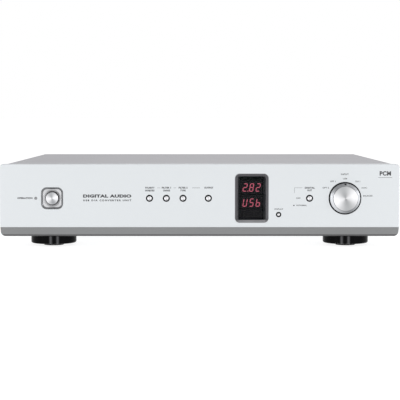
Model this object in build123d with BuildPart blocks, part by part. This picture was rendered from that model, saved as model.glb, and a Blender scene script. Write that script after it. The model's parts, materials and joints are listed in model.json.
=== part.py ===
"""Full-width desktop digital-to-analogue converter, built as an assembly of separate pieces.

Millimetres. +X is to the right as the front panel is seen, +Y to the back and +Z up. The origin is at the
middle of the overall width and depth, on the surface that the feet stand on."""

import os
from math import cos, pi, radians, sin, sqrt

from build123d import *

# ---- driving dimensions --------------------------------------------------------------------------------
WIDTH = 440.0  # front panel
HEIGHT = 92.0  # over everything, feet included
DEPTH = 402.0  # knob tip to jack tip
KNOB_PROUD = 8.0
JACK_PROUD = 10.0
FACE_Y = KNOB_PROUD - DEPTH / 2  # front face of the front panel
BACK_Y = DEPTH / 2 - JACK_PROUD  # outer face of the rear panel

# Front panel: a thick aluminium slab over a sloping trim bar
PANEL_T = 12.0
PANEL_BACK = FACE_Y + PANEL_T
PANEL_BOTTOM = 12.0
TRIM_TOP = 22.55
TRIM_STEP = 1.0
TRIM_SLOPE = 6.0
TRIM_GAP = 0.2
PANEL_CORNER = 4.0
TRIM_CORNER = 5.0
EDGE_ROUND = 0.6

# Steel case behind it
SHEET = 1.5
COVER_T = 1.2
CASE_HALF = 216.0  # half the cover's outer width
COVER_TOP = HEIGHT - 0.5
COVER_BOTTOM = 15.0
INNER_TOP = COVER_TOP - COVER_T
RAIL_BOTTOM = 14.0
WEB_X = CASE_HALF - COVER_T - 0.3  # outer face of a side rail
SUB_BACK = PANEL_BACK + SHEET
REAR_FRONT = BACK_Y - SHEET
BASE_Z = RAIL_BOTTOM + SHEET
FLOOR_Z = BASE_Z + SHEET
FLANGE = 12.0
LIP = 8.5  # rear lip of the cover

# Controls, as (x, z) on the front face
ROW_Z = 54.4
POWER_X = -162.4
LAMP_X = -180.4
DISPLAY_X = 57.4
KNOB_X = 160.0
BUTTONS = {
    "phase_button": (-55.2, ROW_Z),
    "filter_button_a": (-36.7, ROW_Z),
    "filter_button_b": (-18.3, ROW_Z),
    "output_button": (9.6, ROW_Z),
    "digital_out_button": (121.0, ROW_Z),
    "display_button": (87.0, 36.4),
}
CAP_R = {name: 1.5 if name == "display_button" else 2.45 for name in BUTTONS}
BUSH_WALL = 1.2  # the black ring round each cap
RUNNING = 0.2  # gap between a cap and its bush
FIT_GAP = 0.1
CAP_PROUD = 0.8
POWER_R = 6.8
POWER_GAP = 0.8  # between the button and its escutcheon
POWER_PROUD = 1.3
ESCUTCHEON = 23.8
FRAME_W, FRAME_H = 36.8, 53.9
FRAME_CORNER = 5.1
LENS_W, LENS_H = 30.9, 48.2
LENS_CORNER = 2.2
KNOB_R = 16.5
KNOB_FACE_R = 13.1
POCKET_R = 18.05
MODULES = ((66.3, 14.4), (50.0, 14.4), (36.6, 9.2))  # middle height and height of each

# Boards and the switches on them
BOARD_T = 1.6
CONTROL_Y = SUB_BACK + 7.0
BOARD_Z = FLOOR_Z + 10.0
BOARD_TOP = BOARD_Z + BOARD_T

# Rear sockets, as (x, z)
INLET = (-174.0, 48.0)
XLR_OUT = ((188.0, 52.0), (150.0, 52.0))
XLR_IN = (-54.0, 52.0)
LINE_OUT = ((118.0, 53.0), (94.0, 53.0))
COAX = ((62.0, 40.0), (38.0, 40.0), (14.0, 40.0))
OPTICAL = ((62.0, 66.0), (38.0, 66.0), (14.0, 66.0))
USB = (-18.0, 42.0)
RCA = LINE_OUT + COAX
XLR = XLR_OUT + (XLR_IN,)

# Feet
FOOT_R = 25.4
FOOT_LOW = 1.1  # underside of a foot, so that its pad stands proud by as much
FOOT_TOP = PANEL_BOTTOM - 0.4  # shoulder that passes under the trim
NECK_R = 20.0  # above that shoulder, up to the base
PAD_R = 11.0
PAD_T = 2.0
FEET = [(x, y) for x in (-164.4, 164.4) for y in (FACE_Y + 34.5, BACK_Y - 45.0)]

TO_BACK = (0, 1, 0)
UP = (0, 0, 1)


# ---- helpers, each used inside a BuildPart block -------------------------------------------------------
def depth_plane(y):
    """The upright plane at depth y, whose own axes are X and Z."""
    return Plane.XZ.offset(-y)


def rod(x, z, y_front, y_back, radius, mode=Mode.ADD):
    """A round bar along Y."""
    with BuildSketch(depth_plane(y_front)) as outline:
        with Locations((x, z)):
            Circle(radius)
    extrude(outline.sketch, amount=y_back - y_front, dir=TO_BACK, mode=mode)


def slab(x, z, width, height, y_front, y_back, corner=0.0, mode=Mode.ADD):
    """A rectangular plate or bar, as seen from the front, with its corners rounded if corner is given."""
    with BuildSketch(depth_plane(y_front)) as outline:
        with Locations((x, z)):
            if corner:
                RectangleRounded(width, height, corner)
            else:
                Rectangle(width, height)
    extrude(outline.sketch, amount=y_back - y_front, dir=TO_BACK, mode=mode)


def hexagon(x, z, y_front, y_back, radius):
    """A nut's outline along Y."""
    with BuildSketch(depth_plane(y_front)) as outline:
        with Locations((x, z)):
            RegularPolygon(radius, 6)
    extrude(outline.sketch, amount=y_back - y_front, dir=TO_BACK)


def post(x, y, z_low, z_high, radius, mode=Mode.ADD):
    """A round post along Z."""
    with BuildSketch(Plane.XY.offset(z_low)) as outline:
        with Locations((x, y)):
            Circle(radius)
    extrude(outline.sketch, amount=z_high - z_low, dir=UP, mode=mode)


def block(x, y, z_low, z_high, size_x, size_y, corner=0.0, mode=Mode.ADD):
    """A block seen from above, with its upright corners rounded if corner is given."""
    with BuildSketch(Plane.XY.offset(z_low)) as outline:
        with Locations((x, y)):
            if corner:
                RectangleRounded(size_x, size_y, corner)
            else:
                Rectangle(size_x, size_y)
    extrude(outline.sketch, amount=z_high - z_low, dir=UP, mode=mode)


def turned(x, z, profile, mode=Mode.ADD):
    """Turns a closed outline of (radius, y) points about the line through (x, z) along Y."""
    with BuildSketch(Plane(origin=(x, 0, z))) as outline:
        with BuildLine():
            Polyline(*profile, close=True)
        make_face()
    revolve(outline.sketch, axis=Axis((x, 0, z), (0, 1, 0)), mode=mode)


def dish(x, z, y_front, radius, depth):
    """Hollows a round face into a shallow spherical dish."""
    sphere = (radius**2 + depth**2) / (2 * depth)
    half = radius / 2
    middle = (half, y_front + depth - sphere + sqrt(sphere**2 - half**2))
    with BuildSketch(Plane(origin=(x, 0, z))) as outline:
        with BuildLine():
            Line((0, y_front + depth), (0, y_front - 1))
            Line((0, y_front - 1), (radius, y_front - 1))
            Line((radius, y_front - 1), (radius, y_front))
            ThreePointArc((radius, y_front), middle, (0, y_front + depth))
        make_face()
    revolve(outline.sketch, axis=Axis((x, 0, z), (0, 1, 0)), mode=Mode.SUBTRACT)


def screw(seat, outward, length, shank_r=1.5, head_r=2.9, head_h=2.0):
    """A pan-head screw with a cross recess. Its head stands on the point seat and faces outward."""
    plane = Plane(origin=seat, z_dir=outward)
    with BuildSketch(plane) as head:
        Circle(head_r)
    extrude(head.sketch, amount=head_h)
    with BuildSketch(plane) as shank:
        Circle(shank_r)
    extrude(shank.sketch, amount=-length)
    with BuildSketch(plane.offset(head_h)) as recess:
        Rectangle(head_r * 1.2, head_r * 0.3)
        Rectangle(head_r * 0.3, head_r * 1.2)
    extrude(recess.sketch, amount=-head_h * 0.6, mode=Mode.SUBTRACT)


def save(piece, name):
    """Labels a finished piece and writes it as parts/NAME.step."""
    piece.part.label = name
    export_step(piece.part, f"parts/{name}.step")


os.makedirs("parts", exist_ok=True)

# ---- front panel ---------------------------------------------------------------------------------------
PANEL_SCREWS = [(x, z) for x in (-205.0, -110.0, 106.0, 205.0) for z in (32.0, 82.0)]
SCREW_R = 1.5
HOLE_R = SCREW_R + FIT_GAP
POWER_HOLE_R = 9.0
NUT_POCKET_R = 10.0

with BuildPart() as front_panel:
    slab(0, (TRIM_TOP + HEIGHT) / 2, WIDTH, HEIGHT - TRIM_TOP, FACE_Y, PANEL_BACK)
    fillet(front_panel.edges().filter_by(Axis.Y).group_by(Axis.Z)[-1], PANEL_CORNER)
    fillet(front_panel.faces().sort_by(Axis.Y)[0].edges().sort_by(Axis.Z)[1:], EDGE_ROUND)
    window_w, window_h = FRAME_W + 0.3, FRAME_H + 0.3
    slab(DISPLAY_X, ROW_Z, window_w, window_h, FACE_Y, PANEL_BACK, FRAME_CORNER + 0.15, Mode.SUBTRACT)
    slab(POWER_X, ROW_Z, ESCUTCHEON + 0.4, ESCUTCHEON + 0.4, FACE_Y, FACE_Y + 5, 6.2, Mode.SUBTRACT)
    rod(POWER_X, ROW_Z, FACE_Y, PANEL_BACK, POWER_HOLE_R, Mode.SUBTRACT)
    rod(LAMP_X, ROW_Z, FACE_Y, PANEL_BACK, 1.6, Mode.SUBTRACT)
    rod(KNOB_X, ROW_Z, FACE_Y, FACE_Y + 1.5, POCKET_R, Mode.SUBTRACT)
    rod(KNOB_X, ROW_Z, FACE_Y, PANEL_BACK, 5.2, Mode.SUBTRACT)
    rod(KNOB_X, ROW_Z, PANEL_BACK - 5, PANEL_BACK, NUT_POCKET_R, Mode.SUBTRACT)
    for name, (x, z) in BUTTONS.items():
        hole_r = CAP_R[name] + RUNNING + BUSH_WALL + FIT_GAP
        rod(x, z, FACE_Y, PANEL_BACK, hole_r, Mode.SUBTRACT)
    for x, z in PANEL_SCREWS:
        rod(x, z, PANEL_BACK - 7, PANEL_BACK, HOLE_R, Mode.SUBTRACT)
save(front_panel, "front_panel")

with BuildPart() as lower_trim:
    top = TRIM_TOP - TRIM_GAP
    with BuildSketch(Plane.YZ.offset(-WIDTH / 2)):
        with BuildLine():
            Polyline(
                (FACE_Y + TRIM_STEP, top),
                (FACE_Y + TRIM_STEP + TRIM_SLOPE, PANEL_BOTTOM),
                (PANEL_BACK, PANEL_BOTTOM),
                (PANEL_BACK, top),
                close=True,
            )
        make_face()
    extrude(amount=WIDTH)
    fillet(lower_trim.edges().filter_by(Axis.Y).group_by(Axis.Z)[0], TRIM_CORNER)
    front_low = lower_trim.edges().filter_by(Axis.X).group_by(Axis.Z)[0].sort_by(Axis.Y)[0]
    fillet(front_low, 1.2)
    for x in (-110.0, 0.0, 110.0):
        rod(x, 18.5, PANEL_BACK - 4, PANEL_BACK, HOLE_R, Mode.SUBTRACT)
save(lower_trim, "lower_trim")

TRIM_SCREWS = [(x, 18.5) for x in (-110.0, 0.0, 110.0)]
POWER_SCREW_Z = (ROW_Z - 14.0, ROW_Z + 14.0)
CONTROL_X, CONTROL_W, CONTROL_H, CONTROL_MID_Z = 30.0, 210.0, 58.0, 56.0
CONTROL_POSTS = [(CONTROL_X + sx * 100, CONTROL_MID_Z + sz * 24) for sx in (-1, 1) for sz in (-1, 1)]
BASE_SCREW_X = (-190.0, -65.0, 65.0, 190.0)
BASE_SCREW_Z = FLOOR_Z + 5

with BuildPart() as sub_panel:
    slab(0, (RAIL_BOTTOM + INNER_TOP) / 2, 2 * WEB_X, INNER_TOP - RAIL_BOTTOM, PANEL_BACK, SUB_BACK)
    slab(DISPLAY_X, ROW_Z, 27, 48, PANEL_BACK, SUB_BACK, 1, Mode.SUBTRACT)
    rod(POWER_X, ROW_Z, PANEL_BACK, SUB_BACK, 4.2, Mode.SUBTRACT)
    rod(LAMP_X, ROW_Z, PANEL_BACK, SUB_BACK, 1.6, Mode.SUBTRACT)
    rod(KNOB_X, ROW_Z, PANEL_BACK, SUB_BACK, 4.6, Mode.SUBTRACT)
    for x, z in BUTTONS.values():
        rod(x, z, PANEL_BACK, SUB_BACK, 2.5, Mode.SUBTRACT)
    for x, z in PANEL_SCREWS + TRIM_SCREWS + CONTROL_POSTS:
        rod(x, z, PANEL_BACK, SUB_BACK, HOLE_R, Mode.SUBTRACT)
    for x in BASE_SCREW_X:
        rod(x, BASE_SCREW_Z, PANEL_BACK, SUB_BACK, HOLE_R, Mode.SUBTRACT)
    for z in POWER_SCREW_Z:
        rod(POWER_X, z, PANEL_BACK, SUB_BACK, HOLE_R, Mode.SUBTRACT)
save(sub_panel, "sub_panel")

# ---- power button and its lamp -------------------------------------------------------------------------
ESCUTCHEON_Y = FACE_Y + 0.3
ESCUTCHEON_BACK = FACE_Y + 4.9
RIM_DEPTH = 1.2
CONE_R = 9.7
POWER_TRAVEL = 3.0
POWER_TIP = SUB_BACK + 5.0
SWITCH_BACK = SUB_BACK + 29.0

with BuildPart() as power_escutcheon:
    slab(POWER_X, ROW_Z, ESCUTCHEON, ESCUTCHEON, ESCUTCHEON_Y, ESCUTCHEON_BACK, 6.0)
    fillet(power_escutcheon.faces().sort_by(Axis.Y)[0].edges(), 0.3)
    # a steep rim all round, then a shallow cone down to the button
    with BuildSketch(depth_plane(ESCUTCHEON_Y)):
        with Locations((POWER_X, ROW_Z)):
            RectangleRounded(ESCUTCHEON - 0.9, ESCUTCHEON - 0.9, 5.6)
    with BuildSketch(depth_plane(ESCUTCHEON_Y + RIM_DEPTH)):
        with Locations((POWER_X, ROW_Z)):
            RectangleRounded(ESCUTCHEON - 3.8, ESCUTCHEON - 3.8, 4.4)
    loft(mode=Mode.SUBTRACT)
    funnel = [(0, ESCUTCHEON_Y), (CONE_R, ESCUTCHEON_Y), (CONE_R, ESCUTCHEON_Y + RIM_DEPTH)]
    funnel += [(POWER_R + POWER_GAP, ESCUTCHEON_Y + RIM_DEPTH + 0.7), (0, ESCUTCHEON_Y + RIM_DEPTH + 0.7)]
    turned(POWER_X, ROW_Z, funnel, Mode.SUBTRACT)
    rod(POWER_X, ROW_Z, ESCUTCHEON_Y, ESCUTCHEON_BACK, POWER_R + POWER_GAP, Mode.SUBTRACT)
save(power_escutcheon, "power_escutcheon")

with BuildPart() as power_button:
    rod(POWER_X, ROW_Z, FACE_Y - POWER_PROUD, FACE_Y + 7, POWER_R)
    fillet(power_button.faces().sort_by(Axis.Y)[0].edges(), 0.7)
    dish(POWER_X, ROW_Z, FACE_Y - POWER_PROUD, POWER_R - 0.9, 0.35)
    rod(POWER_X, ROW_Z, FACE_Y + 5, FACE_Y + 7, POWER_HOLE_R - 0.3)
    rod(POWER_X, ROW_Z, FACE_Y + 7, POWER_TIP, 3.0)
save(power_button, "power_button")

with BuildPart() as power_switch:
    slab(POWER_X, ROW_Z, 15, 36, SUB_BACK, SUB_BACK + SHEET, 2)
    slab(POWER_X, ROW_Z, 18, 16, SUB_BACK + SHEET, SWITCH_BACK)
    rod(POWER_X, ROW_Z, SUB_BACK, POWER_TIP + POWER_TRAVEL + 1.5, 3.3, Mode.SUBTRACT)
    for z in POWER_SCREW_Z:
        rod(POWER_X, z, SUB_BACK, SUB_BACK + SHEET, HOLE_R, Mode.SUBTRACT)
    for x in (-5.0, 5.0):
        slab(POWER_X + x, ROW_Z, 0.8, 5, SWITCH_BACK, SWITCH_BACK + 5)
save(power_switch, "power_switch")

with BuildPart() as operation_lamp:
    rod(LAMP_X, ROW_Z, FACE_Y - 0.4, SUB_BACK, 1.5)
    fillet(operation_lamp.faces().sort_by(Axis.Y)[0].edges(), 0.7)
    rod(LAMP_X, ROW_Z, SUB_BACK, SUB_BACK + 5, 2.5)
save(operation_lamp, "operation_lamp")

# ---- display -------------------------------------------------------------------------------------------
FRAME_Y = FACE_Y - 0.3
BEVEL_DEPTH = 2.2
LENS_Y = FRAME_Y + BEVEL_DEPTH + 0.05

with BuildPart() as display_frame:
    slab(DISPLAY_X, ROW_Z, FRAME_W, FRAME_H, FRAME_Y, FACE_Y + 8, FRAME_CORNER)
    slab(DISPLAY_X, ROW_Z, LENS_W, LENS_H, FRAME_Y, FACE_Y + 8, LENS_CORNER, Mode.SUBTRACT)
    with BuildSketch(depth_plane(FRAME_Y)):
        with Locations((DISPLAY_X, ROW_Z)):
            RectangleRounded(FRAME_W - 1.0, FRAME_H - 1.0, FRAME_CORNER - 0.5)
    with BuildSketch(depth_plane(FRAME_Y + BEVEL_DEPTH)):
        with Locations((DISPLAY_X, ROW_Z)):
            RectangleRounded(LENS_W, LENS_H, LENS_CORNER)
    loft(mode=Mode.SUBTRACT)
save(display_frame, "display_frame")

with BuildPart() as display_lens:
    slab(DISPLAY_X, ROW_Z, LENS_W - 0.2, LENS_H - 0.2, LENS_Y, LENS_Y + 2, LENS_CORNER - 0.1)
save(display_lens, "display_lens")

with BuildPart() as digit_modules:
    for z, module_h in MODULES:
        slab(DISPLAY_X, z, 23.6, module_h, FACE_Y + 5.2, CONTROL_Y)
    fillet(digit_modules.faces().group_by(Axis.Y)[0].edges(), 0.2)
save(digit_modules, "digit_modules")

# ---- small push buttons --------------------------------------------------------------------------------
BUSH_BACK = FACE_Y + 6.0
COLLAR_T = 1.0
TACT_H = 3.5
TACT_Y = CONTROL_Y - TACT_H
STEM_R = 1.5
STEM_TIP = TACT_Y + 0.9

for name, (x, z) in BUTTONS.items():
    with BuildPart() as push_button:
        rod(x, z, FACE_Y - CAP_PROUD, BUSH_BACK + FIT_GAP, CAP_R[name])
        fillet(push_button.faces().sort_by(Axis.Y)[0].edges(), 0.35)
        collar_r = CAP_R[name] + RUNNING + BUSH_WALL - 0.2
        rod(x, z, BUSH_BACK + FIT_GAP, BUSH_BACK + FIT_GAP + COLLAR_T, collar_r)
        rod(x, z, BUSH_BACK + FIT_GAP + COLLAR_T, STEM_TIP, STEM_R)
    save(push_button, name)

with BuildPart() as button_bushes:
    for name, (x, z) in BUTTONS.items():
        rod(x, z, FACE_Y + 0.4, BUSH_BACK, CAP_R[name] + RUNNING + BUSH_WALL)
        rod(x, z, FACE_Y + 0.4, BUSH_BACK, CAP_R[name] + RUNNING, Mode.SUBTRACT)
save(button_bushes, "button_bushes")

with BuildPart() as control_board:
    slab(CONTROL_X, CONTROL_MID_Z, CONTROL_W, CONTROL_H, CONTROL_Y, CONTROL_Y + BOARD_T, 2)
    for x, z in CONTROL_POSTS:
        rod(x, z, CONTROL_Y, CONTROL_Y + BOARD_T, HOLE_R, Mode.SUBTRACT)
save(control_board, "control_board")

with BuildPart() as tact_switches:
    for x, z in BUTTONS.values():
        slab(x, z, 6, 6, TACT_Y, CONTROL_Y)
        rod(x, z, TACT_Y, TACT_Y + 2.4, STEM_R + 0.2, Mode.SUBTRACT)
save(tact_switches, "tact_switches")

# ---- input selector ------------------------------------------------------------------------------------
KNOB_TIP = FACE_Y - KNOB_PROUD
KNOB_BASE = FACE_Y + 0.2
SHOULDER_Y = FACE_Y - 2.6
SHAFT_R = 3.0
SHAFT_FRONT = FACE_Y - 4.5
SHAFT_BACK = SUB_BACK + 11.0
DIMPLE_R = 15.2
INDEX_R = 1.2

with BuildPart() as input_knob:
    outline = [(SHAFT_R + 0.02, KNOB_BASE), (KNOB_R, KNOB_BASE), (KNOB_R, SHOULDER_Y)]
    outline += [(KNOB_FACE_R, KNOB_TIP), (0, KNOB_TIP), (0, SHAFT_FRONT - 0.5)]
    outline += [(SHAFT_R + 0.02, SHAFT_FRONT - 0.5)]
    turned(KNOB_X, ROW_Z, outline)
    rims = input_knob.edges().filter_by(GeomType.CIRCLE)
    fillet(rims.filter_by(lambda e: abs(e.radius - KNOB_R) < 0.01).sort_by(Axis.Y)[0], 1.2)
    fillet(rims.filter_by(lambda e: abs(e.radius - KNOB_FACE_R) < 0.01), 0.5)
    dish(KNOB_X, ROW_Z, KNOB_TIP, KNOB_FACE_R - 0.8, 0.35)
    # index dimple, drilled square to the sloping shoulder
    slope_r, slope_y = KNOB_R - KNOB_FACE_R, SHOULDER_Y - KNOB_TIP
    dimple_y = SHOULDER_Y - slope_y * (KNOB_R - DIMPLE_R) / slope_r
    dimple = Plane(origin=(KNOB_X, dimple_y, ROW_Z + DIMPLE_R), z_dir=(0, -slope_r, slope_y))
    with BuildSketch(dimple.offset(0.3)):
        Circle(INDEX_R)
    extrude(amount=-0.9, mode=Mode.SUBTRACT)
save(input_knob, "input_knob")

with BuildPart() as knob_collar:
    rod(KNOB_X, ROW_Z, FACE_Y + 0.5, FACE_Y + 1.5, POCKET_R - 0.15)
    rod(KNOB_X, ROW_Z, FACE_Y + 0.5, FACE_Y + 1.5, 6.0, Mode.SUBTRACT)
save(knob_collar, "knob_collar")

with BuildPart() as selector_shaft:
    rod(KNOB_X, ROW_Z, SHAFT_FRONT, SHAFT_BACK, SHAFT_R)
    chamfer(selector_shaft.faces().sort_by(Axis.Y)[0].edges(), 0.4)
save(selector_shaft, "selector_shaft")

SELECTOR_BACK = SUB_BACK + 13.0
with BuildPart() as input_selector:
    rod(KNOB_X, ROW_Z, FACE_Y + 4, SUB_BACK, 4.5)
    rod(KNOB_X, ROW_Z, SUB_BACK, SELECTOR_BACK, 13.0)
    rod(KNOB_X, ROW_Z, FACE_Y + 4, SHAFT_BACK + 0.5, SHAFT_R + 0.05, Mode.SUBTRACT)
    for step in range(12):
        angle = radians(30 * step)
        tag_x, tag_z = KNOB_X + 10.5 * cos(angle), ROW_Z + 10.5 * sin(angle)
        rod(tag_x, tag_z, SELECTOR_BACK, SELECTOR_BACK + 4, 0.6)
save(input_selector, "input_selector")

# ---- case ----------------------------------------------------------------------------------------------
RAIL_MID_Z = (RAIL_BOTTOM + INNER_TOP) / 2
SIDE_SCREW_Y = (-130.0, 5.0, 140.0)
SIDE_SCREW_Z = 26.0
LIP_SCREW_X = (-150.0, 0.0, 150.0)
LIP_SCREW_Z = COVER_TOP - 4.8
TRANSFORMER = (-112.0, -78.0)
CORE_X, CORE_Y, CORE_STACK = 96.0, 80.0, 40.0
CORE_LOW = FLOOR_Z + 14.0
CORE_HIGH = CORE_LOW + CORE_STACK
CORE_POSTS = [
    (TRANSFORMER[0] + sx * (CORE_X / 2 - 8), TRANSFORMER[1] + sy * (CORE_Y / 2 - 8))
    for sx in (-1, 1)
    for sy in (-1, 1)
]
POWER_BOARD = (-118.0, 88.0, 150.0, 130.0)  # centre x, centre y, size x, size y
DAC_BOARD = (104.0, 96.0, 196.0, 140.0)
DIGITAL_BOARD = (104.0, -78.0, 196.0, 130.0)
BOARD_POSTS = [
    (x + sx * (size_x / 2 - 6), y + sy * (size_y / 2 - 6))
    for x, y, size_x, size_y in (POWER_BOARD, DAC_BOARD, DIGITAL_BOARD)
    for sx in (-1, 1)
    for sy in (-1, 1)
]
VENT_ROWS = ((-120.0, 90.0, 14), (104.0, 90.0, 22))  # centre x, centre y, slots in the row

with BuildPart() as bottom_plate:
    base_half = WEB_X - SHEET - FIT_GAP
    block(0, (SUB_BACK + REAR_FRONT) / 2, BASE_Z, FLOOR_Z, 2 * base_half, REAR_FRONT - SUB_BACK)
    for y_front in (SUB_BACK, REAR_FRONT - SHEET):
        slab(0, FLOOR_Z + 5, 2 * base_half, 10, y_front, y_front + SHEET)
    for x, y in FEET:
        post(x, y, BASE_Z, FLOOR_Z, 2.1, Mode.SUBTRACT)
    for x in BASE_SCREW_X:
        for y_front in (SUB_BACK, REAR_FRONT - SHEET):
            rod(x, BASE_SCREW_Z, y_front, y_front + SHEET, HOLE_R, Mode.SUBTRACT)
    for x, z in TRIM_SCREWS:
        rod(x, z, SUB_BACK, SUB_BACK + 3, 3.4, Mode.SUBTRACT)
    for x, y, count in VENT_ROWS:
        with BuildSketch(Plane.XY.offset(BASE_Z)):
            with GridLocations(8, 60, count, 2):
                with Locations((x, 0)):
                    SlotOverall(40, 3, rotation=90)
        extrude(amount=SHEET, mode=Mode.SUBTRACT)
save(bottom_plate, "bottom_plate")

for side, name in ((-1, "side_rail_left"), (1, "side_rail_right")):
    with BuildPart() as side_rail:
        length = REAR_FRONT - SUB_BACK
        middle = (SUB_BACK + REAR_FRONT) / 2
        block(side * (WEB_X - SHEET / 2), middle, RAIL_BOTTOM, INNER_TOP, SHEET, length)
        for z_low in (RAIL_BOTTOM, INNER_TOP - SHEET):
            block(side * (WEB_X - FLANGE / 2), middle, z_low, z_low + SHEET, FLANGE, length)
        with BuildSketch(Plane.YZ.offset(side * WEB_X - 5)):
            with Locations(*[(y, SIDE_SCREW_Z) for y in SIDE_SCREW_Y]):
                Circle(HOLE_R)
        extrude(amount=10, mode=Mode.SUBTRACT)
    save(side_rail, name)

INLET_BODY_W, INLET_BODY_H = 27.0, 20.0
XLR_BODY_R = 12.0
XLR_FLANGE_W, XLR_FLANGE_H = 26.0, 31.0
XLR_SCREWS = [(x + s * 9.5, z + s * 12.0) for x, z in XLR for s in (-1, 1)]
INLET_SCREWS = [(INLET[0] + s * 20.0, INLET[1]) for s in (-1, 1)]
LATCH_W = 6.0
OPTICAL_W, OPTICAL_H = 10.0, 11.0
USB_W, USB_H = 12.0, 11.0
RCA_THREAD_R = 3.9

with BuildPart() as rear_panel:
    slab(0, RAIL_MID_Z, 2 * WEB_X, INNER_TOP - RAIL_BOTTOM, REAR_FRONT, BACK_Y)
    slab(*INLET, INLET_BODY_W + 0.4, INLET_BODY_H + 0.4, REAR_FRONT, BACK_Y, 0, Mode.SUBTRACT)
    for x, z in XLR:
        rod(x, z, REAR_FRONT, BACK_Y, XLR_BODY_R + 0.2, Mode.SUBTRACT)
    for x, z in RCA:
        rod(x, z, REAR_FRONT, BACK_Y, RCA_THREAD_R + FIT_GAP, Mode.SUBTRACT)
    for x, z in OPTICAL:
        slab(x, z, OPTICAL_W + 0.2, OPTICAL_H + 0.2, REAR_FRONT, BACK_Y, 0, Mode.SUBTRACT)
    slab(*USB, USB_W + 0.2, USB_H + 0.2, REAR_FRONT, BACK_Y, 0, Mode.SUBTRACT)
    for x, z in XLR_SCREWS + INLET_SCREWS:
        rod(x, z, REAR_FRONT, BACK_Y, HOLE_R, Mode.SUBTRACT)
    for x in BASE_SCREW_X:
        rod(x, BASE_SCREW_Z, REAR_FRONT, BACK_Y, HOLE_R, Mode.SUBTRACT)
    for x in LIP_SCREW_X:
        rod(x, LIP_SCREW_Z, REAR_FRONT, BACK_Y, HOLE_R, Mode.SUBTRACT)
save(rear_panel, "rear_panel")

with BuildPart() as top_cover:
    cover_front = PANEL_BACK + 0.2
    cover_h = COVER_TOP - COVER_BOTTOM
    cover_mid_z = (COVER_TOP + COVER_BOTTOM) / 2
    slab(0, cover_mid_z, 2 * CASE_HALF, cover_h, cover_front, BACK_Y + COVER_T)
    fillet(top_cover.edges().filter_by(Axis.Y).group_by(Axis.Z)[-1], 2.0)
    hollow_w = 2 * (CASE_HALF - COVER_T)
    slab(0, cover_mid_z - COVER_T, hollow_w, cover_h, cover_front, BACK_Y, 0, Mode.SUBTRACT)
    # behind the rear panel only the lip is left
    below_lip = COVER_TOP - LIP - COVER_BOTTOM
    lip_mid_z = COVER_BOTTOM + below_lip / 2
    slab(0, lip_mid_z, 2 * CASE_HALF, below_lip, BACK_Y, BACK_Y + COVER_T, 0, Mode.SUBTRACT)
    with BuildSketch(Plane.YZ.offset(-WIDTH / 2)):
        with Locations(*[(y, SIDE_SCREW_Z) for y in SIDE_SCREW_Y]):
            Circle(HOLE_R)
    extrude(amount=WIDTH, mode=Mode.SUBTRACT)
    for x in LIP_SCREW_X:
        rod(x, LIP_SCREW_Z, BACK_Y, BACK_Y + COVER_T, HOLE_R, Mode.SUBTRACT)
save(top_cover, "top_cover")

with BuildPart() as case_screws:
    for side in (-1, 1):
        for y in SIDE_SCREW_Y:
            screw((side * CASE_HALF, y, SIDE_SCREW_Z), (side, 0, 0), 6)
    for x in LIP_SCREW_X:
        screw((x, BACK_Y + COVER_T, LIP_SCREW_Z), (0, 1, 0), 5)
    for x in BASE_SCREW_X:
        screw((x, BACK_Y, BASE_SCREW_Z), (0, 1, 0), 5)
    for x, z in XLR_SCREWS:
        screw((x, BACK_Y + 2.0, z), (0, 1, 0), 6)
    for x, z in INLET_SCREWS:
        screw((x, BACK_Y + 2.5, z), (0, 1, 0), 6)
save(case_screws, "case_screws")

with BuildPart() as chassis_screws:
    for x, z in PANEL_SCREWS + TRIM_SCREWS:
        screw((x, SUB_BACK, z), (0, 1, 0), 5)
    for x in BASE_SCREW_X:
        screw((x, SUB_BACK + SHEET, BASE_SCREW_Z), (0, 1, 0), 3)
    for z in POWER_SCREW_Z:
        screw((POWER_X, SUB_BACK + SHEET, z), (0, 1, 0), 3)
    for x, z in CONTROL_POSTS:
        screw((x, CONTROL_Y + BOARD_T, z), (0, 1, 0), 6)
    for x, y in BOARD_POSTS:
        screw((x, y, BOARD_TOP), (0, 0, 1), 8)
    for x, y in CORE_POSTS:
        screw((x, y, CORE_HIGH), (0, 0, 1), CORE_STACK + 10)
save(chassis_screws, "chassis_screws")

with BuildPart() as standoffs:
    for x, y in BOARD_POSTS:
        post(x, y, FLOOR_Z, BOARD_Z, 3.0)
        post(x, y, FLOOR_Z + 1, BOARD_Z, HOLE_R, Mode.SUBTRACT)
    for x, y in CORE_POSTS:
        post(x, y, FLOOR_Z, CORE_LOW, 5.0)
        post(x, y, FLOOR_Z + 1, CORE_LOW, HOLE_R, Mode.SUBTRACT)
    for x, z in CONTROL_POSTS:
        rod(x, z, SUB_BACK, CONTROL_Y, 3.0)
        rod(x, z, SUB_BACK, CONTROL_Y, HOLE_R, Mode.SUBTRACT)
save(standoffs, "standoffs")

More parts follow.
